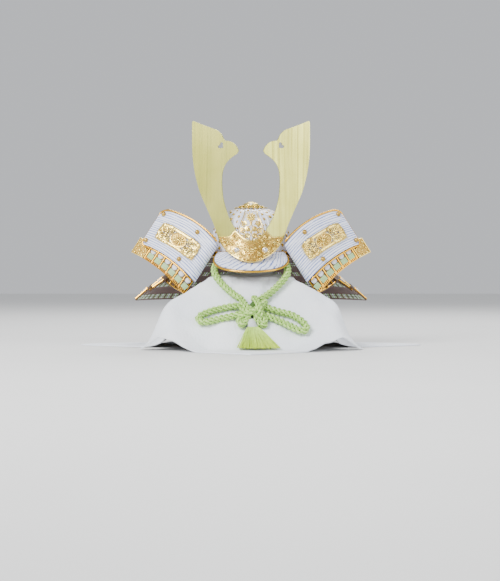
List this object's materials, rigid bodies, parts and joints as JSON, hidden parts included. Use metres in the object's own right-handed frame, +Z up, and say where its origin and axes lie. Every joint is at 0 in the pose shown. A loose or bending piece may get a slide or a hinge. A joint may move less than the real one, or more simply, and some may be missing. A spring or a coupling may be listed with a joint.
{
  "type": "display kabuto helmet on cloth-covered stand",
  "caption": "Small samurai helmet with flat horns, turned-back wings, flared neck guard and a chin cord tied in a bow, resting on a stand under a white cloth.",
  "frame": {"origin": "middle of the stand's foot, on the surface that it stands on", "axes": "+Z up, the helmet faces -Y, +X to the right as seen from the front"},
  "size_m": [0.356, 0.337, 0.2332],
  "materials": {
    "lacquer": "satin white lacquer",
    "leather": "white printed leather",
    "cast_gold": "cast, gilt",
    "bright_gold": "polished, gilt",
    "brushed_gold": "brushed, pale gilt",
    "cord": "braided silk",
    "silver_wrap": "silver thread",
    "tassel": "loose silk threads",
    "cloth": "crepe",
    "wood": "plain"
  },
  "bodies": {
    "root": {"bowl": "lacquer", "waist_band": "bright_gold", "finial": "cast_gold", "front_plate": "cast_gold", "visor": "leather", "visor_rim": "bright_gold", "horn_holder": "cast_gold", "holder_stud_1": "cast_gold", "holder_stud_2": "cast_gold", "horn_right": "brushed_gold", "horn_left": "brushed_gold", "wing_right": "leather", "wing_left": "leather", "wing_rim_right": "bright_gold", "wing_rim_left": "bright_gold", "wing_plate_right": "cast_gold", "wing_plate_left": "cast_gold", "wing_stud_1_right": "cast_gold", "wing_stud_1_left": "cast_gold", "wing_stud_2_right": "cast_gold", "wing_stud_2_left": "cast_gold", "wing_stud_3_right": "cast_gold", "wing_stud_3_left": "cast_gold", "wing_stud_4_right": "cast_gold", "wing_stud_4_left": "cast_gold", "lower_wing_right": "bright_gold", "lower_wing_left": "bright_gold", "lower_wing_tip_right": "cast_gold", "lower_wing_tip_left": "cast_gold", "lame_1": "bright_gold", "lame_2": "bright_gold", "lame_3": "bright_gold", "lame_4": "bright_gold", "stand": "wood", "cloth": "cloth", "chin_cord_right": "cord", "chin_cord_left": "cord", "bow_loop_right": "cord", "bow_loop_left": "cord", "bow_knot": "cord", "tassel_cap": "silver_wrap", "tassel": "tassel"}
  },
  "joints": []
}
